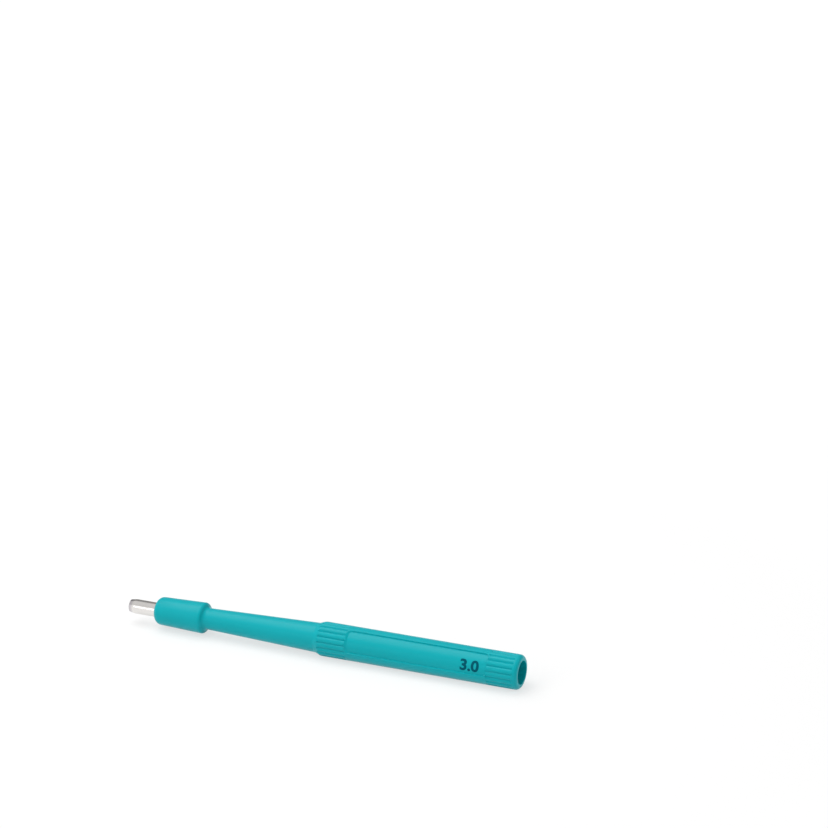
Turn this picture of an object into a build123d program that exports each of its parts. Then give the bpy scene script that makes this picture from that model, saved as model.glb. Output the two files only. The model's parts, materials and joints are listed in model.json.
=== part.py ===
from build123d import *
import math
import os

# Biopsy punch: a thin steel cutting tube fixed in a one-piece moulded handle.
# Millimetres. The origin is the centre of the round cutting edge. +X runs along
# the axis to the open rear end, and +Z is up as the punch lies on a table. The
# label panel faces -Y and a little upwards.

# Steel tube
tube_outer_d = 3.5
tube_wall = 0.25
tube_exposed = 7.2
tube_seat = 10.0
bevel_length = 1.3
edge_width = 0.03

# Collar that holds the tube, a little fatter towards the rear
collar_length = 12.7
collar_front_d = 6.6
collar_rear_d = 7.45
collar_nose_round = 1.5
collar_rear_round = 0.7

# Step from the collar down to the neck
step_length = 0.55
step_root_round = 0.8

# Conical neck
neck_length = 29.05
neck_front_d = 5.08
neck_rear_d = 6.98

# Shoulder where the neck meets the grip
shoulder_length = 1.5
shoulder_foot_round = 1.0
shoulder_top_round = 1.6

# Grip
grip_d = 8.1
grip_length = 49.3
rim_round = 1.0

# Blind bore in the rear end, and the wall that it leaves round it
rear_wall = 1.3
bore_depth = 46.3
bore_mouth_round = 0.1
bore_floor_round = 0.8

# Two bands of lengthwise flutes with rounded crests
flute_count = 18
flute_phase_deg = 1.5
flute_depth = 0.3
flute_crest_rise = 0.03
flute_lead = 0.25
front_flute_length = 6.8
rear_flute_length = 6.3
rear_lip = 1.1

# Shallow label panel, its floor concentric with the grip
panel_depth = 0.32
panel_span_deg = 84.0
panel_centre_deg = -58.5
panel_corner_round = 1.2
panel_overlap = 0.1

# How far a cutting body reaches past the surface that it cuts
overrun = 0.5

# Places along the axis, each from the one before
collar_front_x = tube_exposed
tube_end_x = collar_front_x + tube_seat
collar_rear_x = collar_front_x + collar_length
neck_front_x = collar_rear_x + step_length
neck_rear_x = neck_front_x + neck_length
grip_front_x = neck_rear_x + shoulder_length
grip_rear_x = grip_front_x + grip_length
bore_floor_x = grip_rear_x - bore_depth
front_flute_start_x = grip_front_x - flute_lead
front_flute_end_x = grip_front_x + front_flute_length
rear_flute_end_x = grip_rear_x - rear_lip
rear_flute_start_x = rear_flute_end_x - rear_flute_length

# Radii
tube_outer_r = tube_outer_d / 2
tube_bore_r = tube_outer_r - tube_wall
grip_r = grip_d / 2
bore_r = grip_r - rear_wall


def revolved(points, rounds):
    """Turns a closed outline of (place along X, radius) points about the X axis."""
    outline = FilletPolyline(*points, radius=rounds, close=True)
    return revolve(make_face(outline), Axis.X)


def on_circle(radius, angle_deg):
    """Point on a section across the axis, its angle counted from +Z towards +Y."""
    angle = math.radians(angle_deg)
    return (radius * math.sin(angle), radius * math.cos(angle))


def section_plane(x):
    """Plane across the axis at the place x, with +Y and +Z as its own axes."""
    return Plane.YZ.offset(x)


def blade():
    """Straight tube with its front end ground to a bevel outside."""
    outline = [
        (0, tube_bore_r),
        (0, tube_bore_r + edge_width),
        (bevel_length, tube_outer_r),
        (tube_end_x, tube_outer_r),
        (tube_end_x, tube_bore_r),
    ]
    return revolved(outline, [0] * len(outline))


def handle_blank():
    """Handle before its flutes and panel are cut, with socket and rear bore."""
    outline_and_rounds = [
        ((tube_end_x, 0), 0),
        ((tube_end_x, tube_outer_r), 0),
        ((collar_front_x, tube_outer_r), 0),
        ((collar_front_x, collar_front_d / 2), collar_nose_round),
        ((collar_rear_x, collar_rear_d / 2), collar_rear_round),
        ((neck_front_x, neck_front_d / 2), step_root_round),
        ((neck_rear_x, neck_rear_d / 2), shoulder_foot_round),
        ((grip_front_x, grip_r), shoulder_top_round),
        ((grip_rear_x, grip_r), rim_round),
        ((grip_rear_x, bore_r), bore_mouth_round),
        ((bore_floor_x, bore_r), bore_floor_round),
        ((bore_floor_x, 0), 0),
    ]
    points = [point for point, _ in outline_and_rounds]
    rounds = [size for _, size in outline_and_rounds]
    return revolved(points, rounds)


def scalloped_face():
    """Section of the flutes: one arc from each valley over its crest to the next."""
    pitch = 360 / flute_count
    valley_r = grip_r - flute_depth
    crest_r = grip_r + flute_crest_rise
    arcs = []
    for index in range(flute_count):
        start = flute_phase_deg + index * pitch
        valley = on_circle(valley_r, start)
        crest = on_circle(crest_r, start + pitch / 2)
        next_valley = on_circle(valley_r, start + pitch)
        arcs.append(ThreePointArc(valley, crest, next_valley))
    return make_face(arcs)


def flute_cutter(start_x, end_x):
    """Ring round the grip with the flutes as its inner wall."""
    ring = Circle(grip_r + overrun) - scalloped_face()
    return extrude(section_plane(start_x) * ring, end_x - start_x)


def panel_cutter():
    """Slab bent round the grip, with its four corners rounded."""
    half_span = panel_span_deg / 2
    floor_r = grip_r - panel_depth
    outer_r = grip_r + overrun
    first = panel_centre_deg - half_span
    last = panel_centre_deg + half_span
    inner = ThreePointArc(
        on_circle(floor_r, first),
        on_circle(floor_r, panel_centre_deg),
        on_circle(floor_r, last),
    )
    outer = ThreePointArc(
        on_circle(outer_r, last),
        on_circle(outer_r, panel_centre_deg),
        on_circle(outer_r, first),
    )
    sides = [Line(inner @ 1, outer @ 0), Line(outer @ 1, inner @ 0)]
    section = make_face([inner, outer] + sides)
    start_x = front_flute_end_x - panel_overlap
    end_x = rear_flute_start_x + panel_overlap
    slab = extrude(section_plane(start_x) * section, end_x - start_x)
    corners = slab.edges().filter_by(GeomType.LINE).filter_by(Axis.X, reverse=True)
    return fillet(corners, panel_corner_round)


def handle():
    """Whole handle: the turned form less the flutes and the label panel."""
    form = handle_blank()
    form -= flute_cutter(front_flute_start_x, front_flute_end_x)
    form -= flute_cutter(rear_flute_start_x, rear_flute_end_x)
    form -= panel_cutter()
    return form


os.makedirs("parts", exist_ok=True)
export_step(handle(), "parts/handle.step")
export_step(blade(), "parts/blade.step")
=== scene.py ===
# %% [markdown]
# A biopsy punch lies on a white table. It is a slim handle, moulded in one piece from teal plastic, that
# holds a thin steel tube with a round cutting edge. The user turns it between the fingers, so the grip has
# two fluted bands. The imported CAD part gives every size. This lesson loads it as a fixed frame, makes finer
# meshes of the same shapes, and gives them their finishes. The frame is in metres, and its origin is the
# middle of the cutting edge.

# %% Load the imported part
import json
import math

import bmesh
import bpy
from mathutils import Matrix, Vector

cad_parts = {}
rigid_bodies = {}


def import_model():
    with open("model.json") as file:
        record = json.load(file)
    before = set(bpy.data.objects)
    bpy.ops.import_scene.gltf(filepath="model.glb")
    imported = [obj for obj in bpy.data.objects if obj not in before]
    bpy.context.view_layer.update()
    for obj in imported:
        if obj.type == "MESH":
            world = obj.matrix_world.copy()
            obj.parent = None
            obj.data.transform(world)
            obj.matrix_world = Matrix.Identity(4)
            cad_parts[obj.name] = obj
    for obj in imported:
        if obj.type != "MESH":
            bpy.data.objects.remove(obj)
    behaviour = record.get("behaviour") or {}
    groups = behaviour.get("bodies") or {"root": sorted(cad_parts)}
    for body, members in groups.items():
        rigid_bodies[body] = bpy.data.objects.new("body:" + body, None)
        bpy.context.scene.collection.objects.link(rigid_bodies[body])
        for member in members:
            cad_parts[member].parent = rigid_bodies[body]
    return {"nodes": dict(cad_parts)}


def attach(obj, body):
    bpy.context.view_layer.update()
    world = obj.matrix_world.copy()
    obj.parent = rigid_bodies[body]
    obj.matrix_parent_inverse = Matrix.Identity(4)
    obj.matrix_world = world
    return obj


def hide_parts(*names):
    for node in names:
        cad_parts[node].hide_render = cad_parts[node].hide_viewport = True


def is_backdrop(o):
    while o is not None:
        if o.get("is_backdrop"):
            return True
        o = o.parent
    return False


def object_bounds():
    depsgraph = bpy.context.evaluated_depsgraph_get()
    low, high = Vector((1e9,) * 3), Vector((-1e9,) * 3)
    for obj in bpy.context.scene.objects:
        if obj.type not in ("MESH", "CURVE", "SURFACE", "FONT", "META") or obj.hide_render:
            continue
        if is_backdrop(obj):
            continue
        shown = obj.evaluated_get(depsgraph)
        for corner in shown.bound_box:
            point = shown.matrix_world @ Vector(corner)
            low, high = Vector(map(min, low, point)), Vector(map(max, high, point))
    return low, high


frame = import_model()
cad_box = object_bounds()
MM = 0.001
MIDDLE = Vector((0.05, 0, 0))
print("CAD nodes:", sorted(frame["nodes"]))
print("CAD box in mm:", [round(side / MM, 2) for corner in cad_box for side in corner])

# %% [markdown]
# The camera stands about 0.64 m away, a little above the table and nearer to the open rear end. A long lens
# from that far keeps the slim handle from tapering too much towards the tube. A matrix built from the
# camera's own right and up directions places it exactly, where a target and a roll angle would need more.

# %% Camera
CAMERA_PLACE = (0.292917, -0.504364, 0.258238)
CAMERA_RIGHT = (0.919227, 0.393557, -0.011576)
CAMERA_UP = (-0.124283, 0.317931, 0.939933)
LENS_MM = 114.556
SENSOR_MM = 36.0

right = Vector(CAMERA_RIGHT).normalized()
back = right.cross(Vector(CAMERA_UP)).normalized()
up = back.cross(right)
camera_data = bpy.data.cameras.new("camera")
camera_data.lens = LENS_MM
camera_data.sensor_width = SENSOR_MM
camera = bpy.data.objects.new("camera", camera_data)
bpy.context.scene.collection.objects.link(camera)
turn = Matrix((right, up, back)).transposed().to_4x4()
camera.matrix_world = Matrix.Translation(CAMERA_PLACE) @ turn
bpy.context.scene.camera = camera
print("camera height over the origin in mm:", round(camera.location.z / MM))

# %% [markdown]
# Shaders take linear colours, and people pick colours as sRGB hex, so one function turns the second into
# the first. Another adds any node with its settings and its links, and keeps each material short to read.
# The rest name the few steps that the finishes share: a pattern, a mix, a ramp and a fine relief.

# %% Colours and nodes


def linear(hex_colour):
    """Turns an sRGB hex colour into the linear colour that a shader takes."""
    parts = [int(hex_colour[i : i + 2], 16) / 255 for i in (1, 3, 5)]
    curve = [c / 12.92 if c <= 0.04045 else ((c + 0.055) / 1.055) ** 2.4 for c in parts]
    return (*curve, 1.0)


def add_node(tree, kind, settings=None, sockets=None):
    """Adds a node. Each socket gets a value, or the output socket that feeds it."""
    node = tree.nodes.new(kind)
    for name, value in (settings or {}).items():
        setattr(node, name, value)
    for name, value in (sockets or {}).items():
        if isinstance(value, bpy.types.NodeSocket):
            tree.links.new(value, node.inputs[name])
        else:
            node.inputs[name].default_value = value
    return node


def new_material(name):
    """Makes an empty node material and returns it with its tree and its output node."""
    material = bpy.data.materials.new(name)
    material.use_nodes = True
    tree = material.node_tree
    tree.nodes.clear()
    return material, tree, add_node(tree, "ShaderNodeOutputMaterial")


def seen_as_background(tree):
    """Returns a socket that is 1 for rays of sight, mirrored and refracted ones too, and 0 for light."""
    path = add_node(tree, "ShaderNodeLightPath")
    seen = path.outputs["Is Camera Ray"]
    for kind in ("Is Glossy Ray", "Is Transmission Ray"):
        both = {0: seen, 1: path.outputs[kind]}
        seen = add_node(tree, "ShaderNodeMath", {"operation": "MAXIMUM"}, both).outputs[0]
    return seen


def split_by_sight(tree, output, for_light, for_sight):
    """Gives one shader to light and another one to rays of sight."""
    sockets = {0: seen_as_background(tree), 1: for_light.outputs[0], 2: for_sight.outputs[0]}
    mix = add_node(tree, "ShaderNodeMixShader", None, sockets)
    tree.links.new(mix.outputs[0], output.inputs["Surface"])


def noise(tree, place, width_mm, detail):
    """Adds a noise pattern whose features are about this many millimetres wide."""
    sockets = {"Vector": place, "Scale": 1 / (width_mm * MM), "Detail": detail}
    return add_node(tree, "ShaderNodeTexNoise", None, sockets).outputs[0]


def stretched(tree, place, scale):
    """Stretches coordinates: a scale of 0.1 makes a pattern ten times as long that way."""
    return add_node(tree, "ShaderNodeMapping", None, {"Vector": place, "Scale": scale}).outputs[0]


def ramp(tree, value, start, end, low=0.0, high=1.0):
    """Turns a value from start to end into one from low to high, and stops at both."""
    sockets = {0: value, "From Min": start, "From Max": end, "To Min": low, "To Max": high}
    return add_node(tree, "ShaderNodeMapRange", None, sockets).outputs[0]


def mix_values(tree, share, first, second):
    """Goes from the first value to the second one as the share goes from 0 to 1."""
    sockets = {0: share, 2: first, 3: second}
    return add_node(tree, "ShaderNodeMix", {"data_type": "FLOAT"}, sockets).outputs[0]


def mix_colours(tree, share, first, second):
    """Goes from the first colour to the second one as the share goes from 0 to 1."""
    sockets = {0: share, 6: first, 7: second}
    return add_node(tree, "ShaderNodeMix", {"data_type": "RGBA"}, sockets).outputs[2]


def relief(tree, height, height_mm):
    """Tilts the light as a relief of this height would."""
    sockets = {"Height": height, "Distance": height_mm * MM, "Strength": 1.0}
    return add_node(tree, "ShaderNodeBump", None, sockets).outputs[0]


def dress(piece, material, output, looks):
    """Ends a material in one shader with these looks, and gives it to a piece."""
    tree = material.node_tree
    shader = add_node(tree, "ShaderNodeBsdfPrincipled", None, looks)
    tree.links.new(shader.outputs[0], output.inputs["Surface"])
    piece.data.materials.append(material)
    print(f"{material.name}: {len(tree.nodes)} nodes")


# %% [markdown]
# The table is one large plane at the height where the grip rests. To the lamps it is plain matt white. To
# the camera and in reflections it glows a little as well, so it reads as white paper with a soft shadow on
# it, and the plastic gets no extra light from that. The glow grows away from the punch, where less of the
# lamps' light falls, so the paper stays white to the edges of the picture.

# %% Table
TABLE_SIZE = 6.0
TABLE_COLOUR = "#e8e8e8"
TABLE_SHADE = 0.34
GLOW_NEAR, GLOW_NEAR_M = 0.66, 0.12
GLOW_FAR, GLOW_FAR_M = 0.8, 0.5

bpy.ops.object.select_all(action="DESELECT")
bpy.ops.mesh.primitive_plane_add(size=TABLE_SIZE, location=(MIDDLE.x, MIDDLE.y, cad_box[0].z))
table = bpy.context.object
table.name = "table"
table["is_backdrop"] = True

material, tree, output = new_material("matt_white_table")
lit = add_node(tree, "ShaderNodeBsdfDiffuse", None, {"Color": linear(TABLE_COLOUR)})
shade = add_node(tree, "ShaderNodeBsdfDiffuse", None, {"Color": (TABLE_SHADE,) * 3 + (1,)})
place = add_node(tree, "ShaderNodeTexCoord").outputs["Object"]
distance = add_node(tree, "ShaderNodeVectorMath", {"operation": "LENGTH"}, {0: place})
strength = ramp(tree, distance.outputs["Value"], GLOW_NEAR_M, GLOW_FAR_M, GLOW_NEAR, GLOW_FAR)
glow = add_node(tree, "ShaderNodeEmission", None, {"Strength": strength})
paper = add_node(tree, "ShaderNodeAddShader", None, {0: glow.outputs[0], 1: shade.outputs[0]})
split_by_sight(tree, output, lit, paper)
table.data.materials.append(material)
print("table height in mm:", round(cad_box[0].z / MM, 2))

# %% [markdown]
# The room is dimmer to the plastic than to the camera, so the background is white while the colours keep
# their depth. Reflections show the white room as well, because polished steel that mirrored a grey room
# in front of a white one would look wrong.

# %% Room
ROOM_LIGHT = 0.38

world = bpy.data.worlds.new("white_room")
bpy.context.scene.world = world
world.use_nodes = True
tree = world.node_tree
tree.nodes.clear()
output = add_node(tree, "ShaderNodeOutputWorld")
white = {"Color": linear("#ffffff")}
dim_room = add_node(tree, "ShaderNodeBackground", None, {**white, "Strength": ROOM_LIGHT})
white_room = add_node(tree, "ShaderNodeBackground", None, {**white, "Strength": 1.0})
split_by_sight(tree, output, dim_room, white_room)
bpy.context.scene.view_settings.view_transform = "Standard"
print("room light for the plastic:", ROOM_LIGHT)

# %% [markdown]
# Five softboxes light the punch. The strongest hangs overhead, a little towards the tube, and lays a broad
# sheen along the handle's upper side. One in front and one behind soften its shade, and a weak one on the
# right reaches the open rear end. Those three aren't mirrored, because each would add a streak of its own to
# the steel. The last is small and low at the front left, and it draws the one thin streak along the tube.

# %% Softboxes
def softbox(name, azimuth_deg, height_deg, size, watts, mirrored):
    """Hangs a square lamp a metre from the punch. Azimuth 0 is the front, -Y, and 90 the rear end, +X."""
    azimuth, height = math.radians(azimuth_deg), math.radians(height_deg)
    level = math.cos(height)
    away = Vector((math.sin(azimuth) * level, -math.cos(azimuth) * level, math.sin(height)))
    data = bpy.data.lights.new(name, "AREA")
    data.shape = "SQUARE"
    data.size = size
    data.energy = watts
    lamp = bpy.data.objects.new(name, data)
    bpy.context.scene.collection.objects.link(lamp)
    lamp.location = MIDDLE + away
    lamp.rotation_euler = (-away).to_track_quat("-Z", "Y").to_euler()
    lamp.visible_camera = False
    lamp.visible_glossy = mirrored


# Name, azimuth and height in degrees, width in metres, watts, and whether steel and plastic mirror it
for row in (
    ("softbox_overhead", -82, 69, 0.85, 4.9, True),
    ("softbox_front", -32, 36, 0.6, 2.1, False),
    ("softbox_back", -140, 60, 0.8, 1.6, False),
    ("softbox_side", 90, 32, 0.45, 1.2, False),
    ("softbox_strip", -28, 16, 0.24, 0.28, True),
):
    softbox(*row)

# %% [markdown]
# Polished steel shows what stands round it, and a mirror in an all-white room would be lost in the white. A
# photographer hangs grey cards near it, called flags. The dark one stands behind the tube and draws the line
# along its upper edge, and the pale one hangs over it and tones its upper side, so the streak stands out. A
# larger grey card stands further back for the handle's upper edge. All are seen by mirror rays only and
# throw no shade, so their brightness is simply set.

# %% Card and flags


def mirror_only(name, size, place, turn_deg, brightness):
    """Adds a rectangle that only reflections see, as bright as given, where 1 is white."""
    bpy.ops.object.select_all(action="DESELECT")
    bpy.ops.mesh.primitive_plane_add(
        size=1, location=place, rotation=(math.radians(turn_deg), 0, 0)
    )
    sheet = bpy.context.object
    sheet.name = name
    sheet.scale = (*size, 1)
    bpy.ops.object.transform_apply(location=True, rotation=True, scale=True)
    sheet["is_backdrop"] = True
    for sight in ("camera", "diffuse", "transmission", "shadow"):
        setattr(sheet, "visible_" + sight, False)
    material, tree, output = new_material("matt_" + name)
    tone = add_node(tree, "ShaderNodeEmission", None, {"Strength": brightness})
    tree.links.new(tone.outputs[0], output.inputs["Surface"])
    sheet.data.materials.append(material)


# Name, size and place in metres, turn about X in degrees, and brightness
for row in (
    ("grey_card", (1.6, 0.5), (0.05, 0.45, 0.25), 90, 0.25),
    ("pale_flag", (0.03, 0.026), (-0.011, -0.006, 0.015), 0, 0.7),
    ("dark_flag", (0.044, 0.032), (-0.018, 0.015, 0.016), 90, 0.3),
):
    mirror_only(*row)
unseen = [thing for thing in bpy.data.objects if not thing.visible_camera]
print("flags and card:", [thing.name for thing in unseen if thing.type == "MESH"])

# %% [markdown]
# The meshes are drawn in millimetres, because the operators' own steps and thresholds suit such numbers,
# and shrunk to metres when they are done. Angles round the handle are counted from straight up (+Z) towards
# +Y, as in the CAD part. Selecting by place keeps each step readable: it says which points it works on.

# %% Helpers for drawing and selecting


def ring_point(x, radius, angle_deg):
    """Point at a place along the axis, a radius and an angle round it, in millimetres."""
    angle = math.radians(angle_deg)
    return Vector((x, radius * math.sin(angle), radius * math.cos(angle)))


def radius_of(place):
    """Distance of a point from the axis."""
    return math.hypot(place.y, place.z)


def select_places(test):
    """Selects, in edit mode, the points whose place passes the test, and what lies between them."""
    bpy.ops.mesh.select_all(action="DESELECT")
    mesh = bpy.context.edit_object.data
    edited = bmesh.from_edit_mesh(mesh)
    for vert in edited.verts:
        vert.select = test(vert.co)
    edited.select_flush(True)
    bmesh.update_edit_mesh(mesh)


def report(piece):
    """Prints how large and how fine a mesh is, and whether it is closed."""
    measured = bmesh.new()
    measured.from_mesh(piece.data)
    open_edges = sum(not edge.is_manifold for edge in measured.edges)
    volume = measured.calc_volume(signed=True)
    measured.free()
    faces = len(piece.data.polygons)
    print(f"{piece.name}: {faces} faces, {open_edges} open edges, volume {volume:.4g}")


def pick(piece):
    """Makes one piece the only selected one and the active one."""
    bpy.ops.object.select_all(action="DESELECT")
    piece.select_set(True)
    bpy.context.view_layer.objects.active = piece


def apply_modifier(piece, kind, settings):
    """Gives the picked piece a modifier with these settings, and applies it."""
    modifier = piece.modifiers.new(kind.lower(), kind)
    for name, value in settings.items():
        setattr(modifier, name, value)
    bpy.ops.object.modifier_apply(modifier=modifier.name)


def to_metres(piece):
    """Shrinks a mesh that was drawn in millimetres, and applies its scale."""
    pick(piece)
    piece.scale = (MM, MM, MM)
    bpy.ops.object.transform_apply(location=True, rotation=True, scale=True)


# %% [markdown]
# A turned form is drawn as half of its section and then spun about the axis. The section could be a curve,
# but a line of edges lets each corner be rounded by itself with the bevel operator, as one would do by hand:
# a point bevel with eight segments is the arc of that corner.

# %% Draw a section, round its corners and spin it
ROUND_SEGMENTS = 8
MERGE_MM = 0.0005


def draw_section(name, corners, start_deg, closed):
    """Draws a section by extruding one point from corner to corner. A corner is (x, radius, rounding)."""
    bpy.ops.object.select_all(action="DESELECT")
    bpy.ops.mesh.primitive_plane_add(size=1)
    piece = bpy.context.object
    piece.name = piece.data.name = name
    bpy.ops.object.mode_set(mode="EDIT")
    bpy.ops.mesh.select_mode(type="VERT")
    bpy.ops.mesh.select_all(action="SELECT")
    bpy.ops.mesh.merge(type="CENTER")
    places = [ring_point(x, radius, start_deg) for x, radius, _ in corners]
    bpy.ops.transform.translate(value=places[0])
    for here, there in zip(places, places[1:]):
        bpy.ops.mesh.extrude_vertices_move(TRANSFORM_OT_translate={"value": there - here})
    if closed:
        ends = (places[0], places[-1])
        select_places(lambda co: min((co - end).length for end in ends) < MERGE_MM)
        bpy.ops.mesh.edge_face_add()
    for index, (_, _, rounding) in enumerate(corners):
        if rounding:
            round_corner(places, index, rounding)
    return piece


def round_corner(places, index, rounding):
    """Bevels one corner of the section into an arc of the given radius."""
    corner = places[index]
    before = places[index - 1] - corner
    after = places[index + 1] - corner
    reach = rounding / math.tan(before.angle(after) / 2)
    select_places(lambda co: (co - corner).length < MERGE_MM)
    bpy.ops.mesh.bevel(
        offset_type="OFFSET",
        offset=reach,
        segments=ROUND_SEGMENTS,
        profile=0.5,
        affect="VERTICES",
        clamp_overlap=False,
    )


def spin_section(columns):
    """Spins the section about the X axis, closes the seam and the poles, and turns the faces outwards."""
    bpy.ops.mesh.select_all(action="SELECT")
    bpy.ops.mesh.spin(steps=columns, angle=2 * math.pi, center=(0, 0, 0), axis=(1, 0, 0))
    bpy.ops.mesh.select_all(action="SELECT")
    bpy.ops.mesh.remove_doubles(threshold=MERGE_MM)
    bpy.ops.mesh.normals_make_consistent(inside=False)
    bpy.ops.object.mode_set(mode="OBJECT")


# %% [markdown]
# The handle first, as a plain turned form: a rounded collar with the tube's socket, a step down, a conical
# neck, a shoulder, the grip, and a blind bore in its rear end. Extra rings lie where the flutes will start
# and stop, so the flutes need no cut of their own later.

# %% Handle: the turned form
TUBE_OUTER_R = 1.75
TUBE_END_X = 17.2
COLLAR_FRONT_X = 7.2
GRIP_R = 4.05
GRIP_REAR_X = 100.3
BORE_R = 2.75
BORE_FLOOR_X = 54.0
FRONT_BAND_START_X = 50.75
FRONT_BAND_END_X = 57.8
REAR_BAND_START_X = 92.9
REAR_BAND_END_X = 99.2
FLUTE_END_WALL = 0.1
COLUMNS = 216
FLUTE_PHASE_DEG = 1.5

handle_corners = [
    # Floor and mouth of the socket
    (TUBE_END_X, 0, 0),
    (TUBE_END_X, TUBE_OUTER_R, 0),
    (COLLAR_FRONT_X, TUBE_OUTER_R, 0),
    # Collar, front and rear
    (COLLAR_FRONT_X, 3.3, 1.5),
    (19.9, 3.725, 0.7),
    # Neck, front and rear
    (20.45, 2.54, 0.8),
    (49.5, 3.49, 1.0),
    # Top of the shoulder, and the rings where the flutes stop
    (51.0, GRIP_R, 1.6),
    (FRONT_BAND_END_X - FLUTE_END_WALL, GRIP_R, 0),
    (FRONT_BAND_END_X, GRIP_R, 0),
    (REAR_BAND_START_X, GRIP_R, 0),
    (REAR_BAND_START_X + FLUTE_END_WALL, GRIP_R, 0),
    (REAR_BAND_END_X - FLUTE_END_WALL, GRIP_R, 0),
    (REAR_BAND_END_X, GRIP_R, 0),
    # Rim, mouth and floor of the rear bore
    (GRIP_REAR_X, GRIP_R, 1.0),
    (GRIP_REAR_X, BORE_R, 0.1),
    (BORE_FLOOR_X, BORE_R, 0.8),
    (BORE_FLOOR_X, 0, 0),
]
handle = draw_section("handle_moulding", handle_corners, FLUTE_PHASE_DEG, closed=False)
spin_section(COLUMNS)
report(handle)

# %% [markdown]
# The flutes are 18 shallow scallops: the section of each rib is one arc over its crest, from groove to
# groove. Cutting them with 18 rods would leave slivers, so the rings that are already there are pulled in
# instead, column by column. A column in a groove goes in most, and one on a crest stays where it is.

# %% Handle: pull in the grooves of both fluted bands
FLUTE_COUNT = 18
GROOVE_R = 3.75
CREST_R = 4.08
COLUMNS_PER_FLUTE = COLUMNS // FLUTE_COUNT


def rib_radius(step):
    """Radius of the ribbed section, a number of columns away from a groove."""
    pitch = 2 * math.pi / FLUTE_COUNT
    half_chord = GROOVE_R * math.sin(pitch / 2)
    rise = CREST_R - GROOVE_R * math.cos(pitch / 2)
    arc_r = (half_chord**2 + rise**2) / (2 * rise)
    centre_r = CREST_R - arc_r
    off_crest = pitch / 2 - step * pitch / COLUMNS_PER_FLUTE
    across = centre_r * math.sin(off_crest)
    return centre_r * math.cos(off_crest) + math.sqrt(arc_r**2 - across**2)


def column_step(place):
    """Columns between a point and the nearest groove."""
    angle = math.degrees(math.atan2(place.y, place.z)) - FLUTE_PHASE_DEG
    step = round(angle * COLUMNS / 360) % COLUMNS_PER_FLUTE
    return min(step, COLUMNS_PER_FLUTE - step)


def in_bands(place):
    """True for the outer points of the two fluted bands, up to but not on their ends."""
    front = FRONT_BAND_START_X < place.x < FRONT_BAND_END_X - MERGE_MM
    rear = REAR_BAND_START_X + MERGE_MM < place.x < REAR_BAND_END_X - MERGE_MM
    return (front or rear) and radius_of(place) > BORE_R + MERGE_MM


band_rings = {}
for vert in handle.data.vertices:
    if in_bands(vert.co):
        band_rings[round(vert.co.x, 3)] = radius_of(vert.co)

bpy.ops.object.mode_set(mode="EDIT")
for ring_x, ring_r in band_rings.items():
    for step in range(COLUMNS_PER_FLUTE // 2):
        share = rib_radius(step) / ring_r
        if share < 1 - MERGE_MM:
            select_places(
                lambda co: abs(co.x - ring_x) < 2 * MERGE_MM
                and radius_of(co) > BORE_R + MERGE_MM
                and column_step(co) == step
            )
            bpy.ops.transform.resize(value=(1, share, share), center_override=(0, 0, 0))
bpy.ops.object.mode_set(mode="OBJECT")
print("rings pulled in:", len(band_rings), "groove radius:", round(rib_radius(0), 3))

# %% [markdown]
# The label panel is a shallow recess whose floor follows the round grip. Its cutter is drawn flat, where a
# rounded rectangle and its sloping sides are easy, then sliced into strips and bent round the axis. The
# bend turns flat lengths into arc lengths at the grip's own radius, so the corners keep their shape. The
# panel's border is a crisp line except at its front end, where the wall slopes gently to the floor.

# %% Label panel: draw the cutter flat
PANEL_DEPTH = 0.32
PANEL_SPAN_DEG = 84.0
PANEL_CENTRE_DEG = -58.5
PANEL_CORNER_R = 1.2
PANEL_EDGE = 0.05
WALL_SLOPE = 0.02
FRONT_SLOPE = 0.4
CUTTER_TOP = 0.5
SKIN = 0.01

panel_start_x = FRONT_BAND_END_X - FLUTE_END_WALL
panel_end_x = REAR_BAND_START_X + FLUTE_END_WALL
panel_length = panel_end_x - panel_start_x
panel_arc = GRIP_R * math.radians(PANEL_SPAN_DEG)

bpy.ops.object.select_all(action="DESELECT")
bpy.ops.mesh.primitive_plane_add(size=1, rotation=(math.radians(90), 0, 0))
bpy.ops.object.transform_apply(rotation=True)
cutter = bpy.context.object
bpy.ops.object.mode_set(mode="EDIT")
bpy.ops.mesh.select_all(action="SELECT")
bpy.ops.transform.resize(
    value=(panel_length + 2 * CUTTER_TOP, 1, panel_arc + 2 * CUTTER_TOP),
    center_override=(0, 0, 0),
)
bpy.ops.mesh.bevel(
    offset_type="OFFSET",
    offset=PANEL_CORNER_R + CUTTER_TOP,
    segments=ROUND_SEGMENTS,
    profile=0.5,
    affect="VERTICES",
    clamp_overlap=False,
)
# A face that looks towards -Y has angle -90 at its middle, so the panel's middle lies this far up.
panel_rise = GRIP_R * math.radians(PANEL_CENTRE_DEG + 90)
panel_middle = ((panel_start_x + panel_end_x) / 2, -CUTTER_TOP, panel_rise)
bpy.ops.transform.translate(value=panel_middle)
bpy.ops.mesh.select_mode(type="FACE")
bpy.ops.mesh.extrude_region_move(TRANSFORM_OT_translate={"value": (0, SKIN, 0)})
# Down the flared side to just under the grip's surface, down the wall, and round the foot to the floor.
slope = CUTTER_TOP - SKIN + PANEL_EDGE
bpy.ops.mesh.inset(thickness=slope, depth=-slope, use_even_offset=True)
bpy.ops.mesh.inset(
    thickness=WALL_SLOPE, depth=2 * PANEL_EDGE - PANEL_DEPTH, use_even_offset=True
)
# Shrinking the foot of the wall towards the rear end slopes the front end alone.
bpy.ops.transform.resize(
    value=(1 - FRONT_SLOPE / panel_length, 1, 1), center_override=(panel_end_x, 0, 0)
)
bpy.ops.mesh.inset(thickness=PANEL_EDGE, depth=-PANEL_EDGE, use_even_offset=True)
bpy.ops.mesh.select_mode(type="VERT")
bpy.ops.mesh.select_all(action="SELECT")
bpy.ops.mesh.normals_make_consistent(inside=False)
bpy.ops.object.mode_set(mode="OBJECT")
report(cutter)

# %% Slice flat work into strips and bend it round the axis


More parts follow.
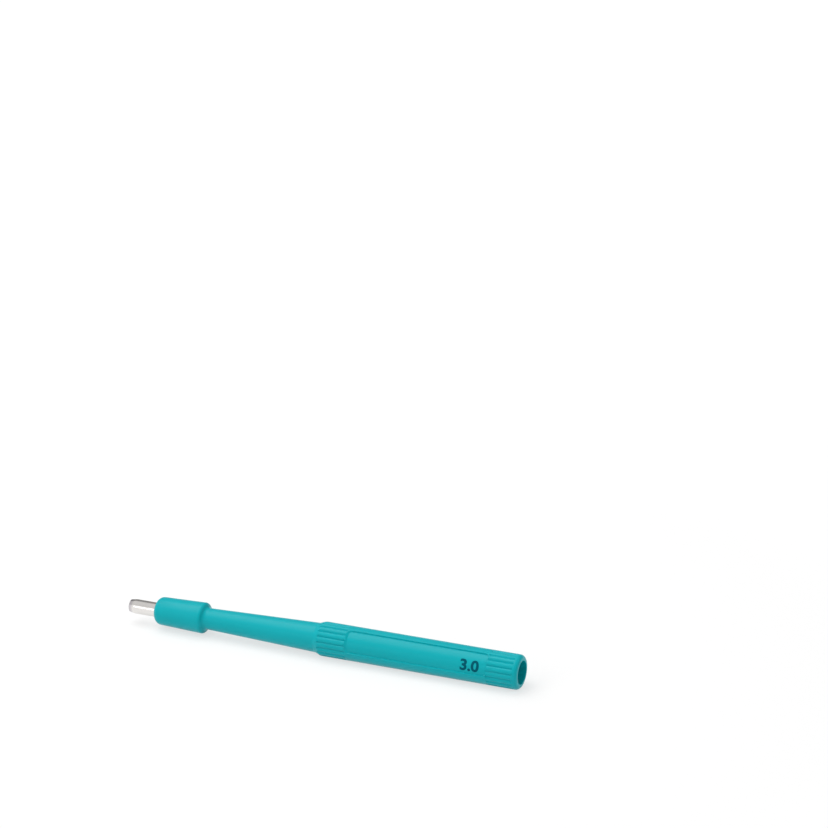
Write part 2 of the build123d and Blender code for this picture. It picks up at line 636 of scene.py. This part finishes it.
def bend_round_axis(piece, radius):
    """Bends a flat piece that faces -Y round the X axis. Its plane y = 0 lands on the given radius."""
    heights = [vert.co.z for vert in piece.data.vertices]
    low, high = min(heights), max(heights)
    column = radius * 2 * math.pi / COLUMNS
    phase = radius * math.radians(FLUTE_PHASE_DEG)
    pick(piece)
    bpy.ops.object.mode_set(mode="EDIT")
    for index in range(math.ceil((low - phase) / column), math.ceil((high - phase) / column)):
        bpy.ops.mesh.select_all(action="SELECT")
        bpy.ops.mesh.bisect(
            plane_co=(0, 0, phase + index * column), plane_no=(0, 0, 1), threshold=MERGE_MM / 10
        )
    bpy.ops.object.mode_set(mode="OBJECT")
    angle = (high - low) / radius
    bend = {"deform_method": "BEND", "deform_axis": "X", "angle": angle}
    apply_modifier(piece, "SIMPLE_DEFORM", bend)
    bpy.ops.object.mode_set(mode="EDIT")
    bpy.ops.mesh.select_all(action="SELECT")
    bpy.ops.transform.translate(value=(0, -radius, 0))
    bpy.ops.object.mode_set(mode="OBJECT")


bend_round_axis(cutter, GRIP_R)
floor_radius = min(radius_of(vert.co) for vert in cutter.data.vertices)
print("panel floor radius in mm:", round(floor_radius, 3))

# %% Label panel: cut it
pick(handle)
cut = {"operation": "DIFFERENCE", "solver": "EXACT", "object": cutter}
apply_modifier(handle, "BOOLEAN", cut)
bpy.data.objects.remove(cutter)
# The cut leaves pairs of points that should be one, and bent or hollow faces. Mended here, neither can leave
# a sliver or a doubled triangle in the mesh.
bpy.ops.object.mode_set(mode="EDIT")
bpy.ops.mesh.select_all(action="SELECT")
bpy.ops.mesh.remove_doubles(threshold=MERGE_MM)
bpy.ops.mesh.vert_connect_nonplanar()
bpy.ops.mesh.vert_connect_concave()
bpy.ops.object.mode_set(mode="OBJECT")
report(handle)

# %% [markdown]
# Smooth shading hides the columns, and edges sharper than 38 degrees stay crisp: the grooves, their end
# walls and the panel's border. Weighted normals follow the large faces, so the long plain stretches
# don't bend the light near their ends.

# %% Shade and finish a piece
SHARP_DEG = 38.0


def finish_piece(piece):
    """Shades a piece, shrinks it to metres, and lets it ride on the only body of this part."""
    pick(piece)
    bpy.ops.object.shade_smooth_by_angle(angle=math.radians(SHARP_DEG))
    apply_modifier(piece, "WEIGHTED_NORMAL", {"keep_sharp": True})
    to_metres(piece)
    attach(piece, "root")


finish_piece(handle)
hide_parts("handle")
report(handle)

# %% [markdown]
# The blade is a drawn steel tube. Its front end is ground to a long bevel outside, which leaves a thin round
# edge, and the bevel's rear end runs softly into the tube. The section is a closed loop this time, because
# the tube has a wall with an inside.

# %% Blade
TUBE_BORE_R = 1.5
EDGE_WIDTH = 0.03
BEVEL_LENGTH = 1.3
BEVEL_RUNOUT_R = 2.0
BLADE_COLUMNS = 144

blade_corners = [
    (0, TUBE_BORE_R, 0),
    (0, TUBE_BORE_R + EDGE_WIDTH, 0),
    (BEVEL_LENGTH, TUBE_OUTER_R, BEVEL_RUNOUT_R),
    (TUBE_END_X, TUBE_OUTER_R, 0),
    (TUBE_END_X, TUBE_BORE_R, 0),
]
blade = draw_section("blade_tube", blade_corners, 0, closed=True)
spin_section(BLADE_COLUMNS)
finish_piece(blade)
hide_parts("blade")
report(blade)

# %% [markdown]
# The size of the cut, 3.0 mm, is printed on the panel's floor. The number is a text object made heavier
# with an offset, turned into a mesh, bent like the panel and given the thickness of a coat of ink.

# %% Size number
NUMBER_HEIGHT = 2.7
NUMBER_MIDDLE_X = 88.85
NUMBER_MIDDLE_DEG = -69.5
NUMBER_WIDTH_SHARE = 1.1
NUMBER_BOLD = 0.034
NUMBER_CURVE_STEPS = 4
FLOOR_R = GRIP_R - PANEL_DEPTH
INK_HEIGHT = 0.015

bpy.ops.object.select_all(action="DESELECT")
bpy.ops.object.text_add(rotation=(math.radians(90), 0, 0))
number = bpy.context.object
number.name = "size_number"
number.data.body = "3.0"
number.data.size = 1.0
number.data.offset = NUMBER_BOLD
number.data.resolution_u = NUMBER_CURVE_STEPS
bpy.ops.object.convert(target="MESH")
number = bpy.context.object
bpy.ops.object.transform_apply(rotation=True)
spread_x = [vert.co.x for vert in number.data.vertices]
spread_z = [vert.co.z for vert in number.data.vertices]
grow = NUMBER_HEIGHT / (max(spread_z) - min(spread_z))
bpy.ops.object.mode_set(mode="EDIT")
bpy.ops.mesh.select_all(action="SELECT")
bpy.ops.transform.translate(
    value=(-(max(spread_x) + min(spread_x)) / 2, 0, -(max(spread_z) + min(spread_z)) / 2)
)
bpy.ops.transform.resize(value=(grow * NUMBER_WIDTH_SHARE, 1, grow), center_override=(0, 0, 0))
bpy.ops.transform.translate(
    value=(NUMBER_MIDDLE_X, 0, FLOOR_R * math.radians(NUMBER_MIDDLE_DEG + 90))
)
bpy.ops.mesh.remove_doubles(threshold=MERGE_MM)
bpy.ops.object.mode_set(mode="OBJECT")
bend_round_axis(number, FLOOR_R)
# Half of this thickness lies under the panel's floor, so no gap shows along the edges.
apply_modifier(number, "SOLIDIFY", {"thickness": 2 * INK_HEIGHT, "offset": 0})
report(number)
finish_piece(number)

# %% [markdown]
# The handle is polypropylene, coloured right through and moulded in a polished steel mould. That gives an
# even, saturated teal with a soft sheen. Where the melt flowed along the handle the colour and the gloss
# drift very slightly, and the mould leaves a fine unevenness on the skin. The real unevenness is a few
# hundredths of a millimetre wide, and it is drawn at 0.3 mm so that it shows.

# %% Moulded teal polypropylene
TEALS = ("#00aab3", "#00b3bd")
# A polished mould gives a roughness near 0.3, a little more where the melt cooled first.
PLASTIC_ROUGHNESS = (0.26, 0.36)
PLASTIC_IOR = 1.49
# Below the usual 0.5, because a moulded skin mirrors less at a slant than a polished one
PLASTIC_SHEEN = 0.17
FLOW_WIDTH_MM = 6.0
FLOW_STRETCH = (0.2, 1, 1)
SKIN_GRAIN_MM = 0.3
SKIN_GRAIN_HEIGHT_MM = 0.0015

plastic, tree, output = new_material("moulded_teal_polypropylene")
place = add_node(tree, "ShaderNodeTexCoord").outputs["Object"]
flow = noise(tree, stretched(tree, place, FLOW_STRETCH), FLOW_WIDTH_MM, detail=3.0)
grain = noise(tree, place, SKIN_GRAIN_MM, detail=2.0)
looks = {
    "Base Color": mix_colours(tree, flow, *map(linear, TEALS)),
    "Roughness": ramp(tree, flow, 0.0, 1.0, *PLASTIC_ROUGHNESS),
    "Normal": relief(tree, grain, SKIN_GRAIN_HEIGHT_MM),
    "IOR": PLASTIC_IOR,
    "Specular IOR Level": PLASTIC_SHEEN,
}
dress(handle, plastic, output, looks)

# %% [markdown]
# The tube is stainless steel, drawn through a die and polished outside, so it is nearly a mirror with faint
# lines along its length. The bevel was ground while the tube turned, so its marks run round it instead. The
# inside was only drawn, and is dull. The bevel is told apart by its place along the axis and the inside by
# its distance from it, with no second material. The real marks are about a hundredth of a millimetre wide,
# and they are drawn at about a tenth so that they show.

# %% Drawn and ground stainless steel
STEELS = ("#e1dedb", "#ebe8e5")
POLISHED_ROUGHNESS = (0.1, 0.18)
DRAWN_ROUGHNESS = 0.5
DRAWING_LINE_MM = 0.12
DRAWING_STRETCH = (0.03, 1, 1)
GRINDING_LINE_MM = 0.08
GRINDING_STRETCH = (1, 0.02, 0.02)
MARK_HEIGHT_MM = 0.0004
EDGE_STEEL = "#cac6c9"
EDGE_STEEL_FROM_MM = 1.1
EDGE_STEEL_FULL_MM = 0.5

steel, tree, output = new_material("polished_stainless_steel")
place = add_node(tree, "ShaderNodeTexCoord").outputs["Object"]
place_x = add_node(tree, "ShaderNodeSeparateXYZ", None, {0: place}).outputs["X"]
# 1 on the ground bevel and 0 on the drawn tube, over a short way
bevel_end, tube_start = BEVEL_LENGTH - EDGE_WIDTH, BEVEL_LENGTH + EDGE_WIDTH
ground = ramp(tree, place_x, tube_start * MM, bevel_end * MM)
drawn_lines = noise(tree, stretched(tree, place, DRAWING_STRETCH), DRAWING_LINE_MM, detail=2.0)
ground_lines = noise(tree, stretched(tree, place, GRINDING_STRETCH), GRINDING_LINE_MM, detail=2.0)
marks = mix_values(tree, ground, drawn_lines, ground_lines)
steel_tint = mix_colours(tree, marks, *map(linear, STEELS))
# The steel is given a greyer colour over the last millimetre or so before the edge.
near_edge = ramp(tree, place_x, EDGE_STEEL_FROM_MM * MM, EDGE_STEEL_FULL_MM * MM)
# 1 on the inner wall and 0 from just outside it
across = stretched(tree, place, (0, 1, 1))
radius = add_node(tree, "ShaderNodeVectorMath", {"operation": "LENGTH"}, {0: across})
just_outside = TUBE_BORE_R + EDGE_WIDTH / 2
inside = ramp(tree, radius.outputs["Value"], just_outside * MM, TUBE_BORE_R * MM)
polish = ramp(tree, marks, 0.0, 1.0, *POLISHED_ROUGHNESS)
looks = {
    "Base Color": mix_colours(tree, near_edge, steel_tint, linear(EDGE_STEEL)),
    "Metallic": 1.0,
    "Roughness": mix_values(tree, inside, polish, DRAWN_ROUGHNESS),
    "Normal": relief(tree, marks, MARK_HEIGHT_MM),
}
dress(blade, steel, output, looks)

# %% [markdown]
# The number is pad printed: a silicone pad sets down a thin coat of dark petrol ink. It is a little duller
# than the plastic and not quite even, because the pad lifts some of the ink again as it leaves. That leaves
# patches about a quarter of a millimetre wide, as on a real print.

# %% Pad-printed ink
INKS = ("#005564", "#006172")
INK_ROUGHNESS = (0.4, 0.55)
INK_IOR = 1.5
INK_SHEEN = 0.05
INK_MOTTLE_MM = 0.25

ink, tree, output = new_material("pad_printed_petrol_ink")
place = add_node(tree, "ShaderNodeTexCoord").outputs["Object"]
mottle = noise(tree, place, INK_MOTTLE_MM, detail=2.0)
looks = {
    "Base Color": mix_colours(tree, mottle, *map(linear, INKS)),
    "Roughness": ramp(tree, mottle, 0.0, 1.0, *INK_ROUGHNESS),
    "IOR": INK_IOR,
    "Specular IOR Level": INK_SHEEN,
}
dress(number, ink, output, looks)

# %% [markdown]
# The CAD nodes that the new pieces stand for are hidden and stay the collision bodies. Last, the box of the
# dressed part is printed next to the CAD's own.

# %% Print the two boxes
boxes = {"cad": cad_box, "visual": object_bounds()}
for name, (low, high) in boxes.items():
    print(name, "box in mm:", [round(side / MM, 2) for side in high - low])
